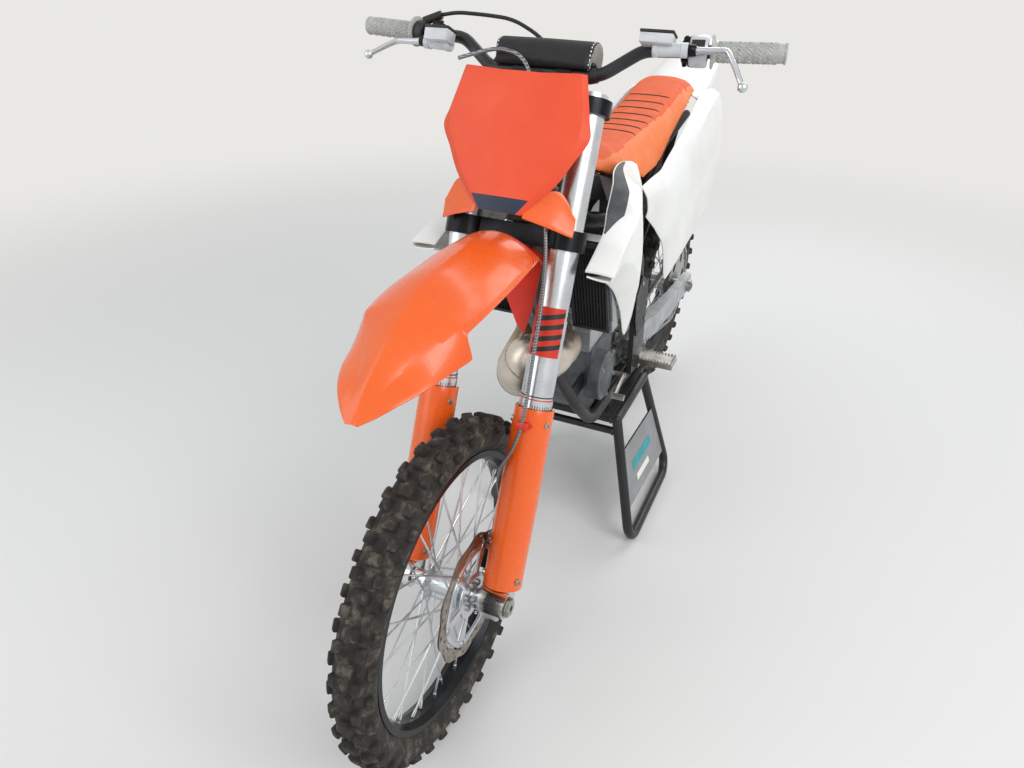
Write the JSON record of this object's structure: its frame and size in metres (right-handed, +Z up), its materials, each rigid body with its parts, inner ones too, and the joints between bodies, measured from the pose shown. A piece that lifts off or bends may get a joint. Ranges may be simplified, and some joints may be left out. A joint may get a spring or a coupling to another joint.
{
  "type": "off-road motorcycle on a paddock stand",
  "caption": "Off-road motorcycle with lugged tyres, long-travel fork, moulded plastics and expansion-chamber exhaust, resting on a tubular paddock stand.",
  "frame": {"origin": "on the floor, under the middle of the bike's length and width", "axes": "+X towards the front wheel, +Y to the rider's left, +Z up"},
  "size_m": [2.1752, 0.8108, 1.3063],
  "materials": {
    "black_frame": "satin black powder coat",
    "silver_metal": "cast and machined",
    "black_metal": "black anodised",
    "raw_steel": "bare pressed steel",
    "steel": "bare steel",
    "chrome": "hard chrome",
    "rubber_tyre": "dusty tread rubber",
    "grip_rubber": "light grey rubber",
    "black_rubber": "satin",
    "orange_plastic": "gloss moulded",
    "orange_matte": "matte moulded",
    "white_plastic": "gloss moulded",
    "black_plastic": "moulded",
    "seat_cover": "gripper seat cover",
    "foam": "foam in a woven cover",
    "engine_grey": "cast, painted grey"
  },
  "bodies": {
    "chassis": {"frame": "black_frame", "subframe_airbox": "black_plastic", "engine_cases": "engine_grey", "cylinder": "silver_metal", "exhaust_chamber": "raw_steel", "silencer": "silver_metal", "radiators": "silver_metal", "radiator_louvres": "black_plastic", "shrouds": "white_plastic", "tank": "black_plastic", "seat": "seat_cover", "side_panels": "white_plastic", "rear_fender": "white_plastic", "frame_guards": "black_plastic", "swingarm": "silver_metal", "rear_shock": "steel", "chain": "steel", "foot_controls": "steel", "rear_brake": "black_metal", "rear_axle": "steel", "paddock_stand": "black_frame"},
    "steering": {"fork_tubes": "silver_metal", "fork_lowers": "chrome", "fork_guards": "orange_plastic", "lower_clamp": "black_metal", "top_clamp": "black_metal", "front_axle": "steel", "handlebar": "black_metal", "grips": "grip_rubber", "bar_pad": "foam", "hand_controls": "silver_metal", "throttle_cable": "black_rubber", "number_plate": "orange_matte", "front_fender": "orange_plastic", "front_caliper": "black_metal", "brake_hose": "black_rubber"},
    "front_wheel": {"front_tyre": "rubber_tyre", "front_rim": "black_metal", "front_hub": "silver_metal", "front_disc": "steel"},
    "rear_wheel": {"rear_tyre": "rubber_tyre", "rear_rim": "black_metal", "rear_hub": "silver_metal", "rear_disc": "steel", "rear_sprocket": "steel"}
  },
  "joints": [
    {"name": "steering_turn", "type": "hinge", "parent": "chassis", "child": "steering", "pos_m": [0.37272, 0, 1.0577], "axis": [-0.3968, 0, 0.9179], "range_deg": [-42, 42]},
    {"name": "front_wheel_spin", "type": "hinge", "parent": "steering", "child": "front_wheel", "pos_m": [0.7425, 0, 0.346], "axis": [0, 1, 0], "continuous": true},
    {"name": "rear_wheel_spin", "type": "hinge", "parent": "chassis", "child": "rear_wheel", "pos_m": [-0.74111, 0, 0.41048], "axis": [0, 1, 0], "continuous": true}
  ]
}
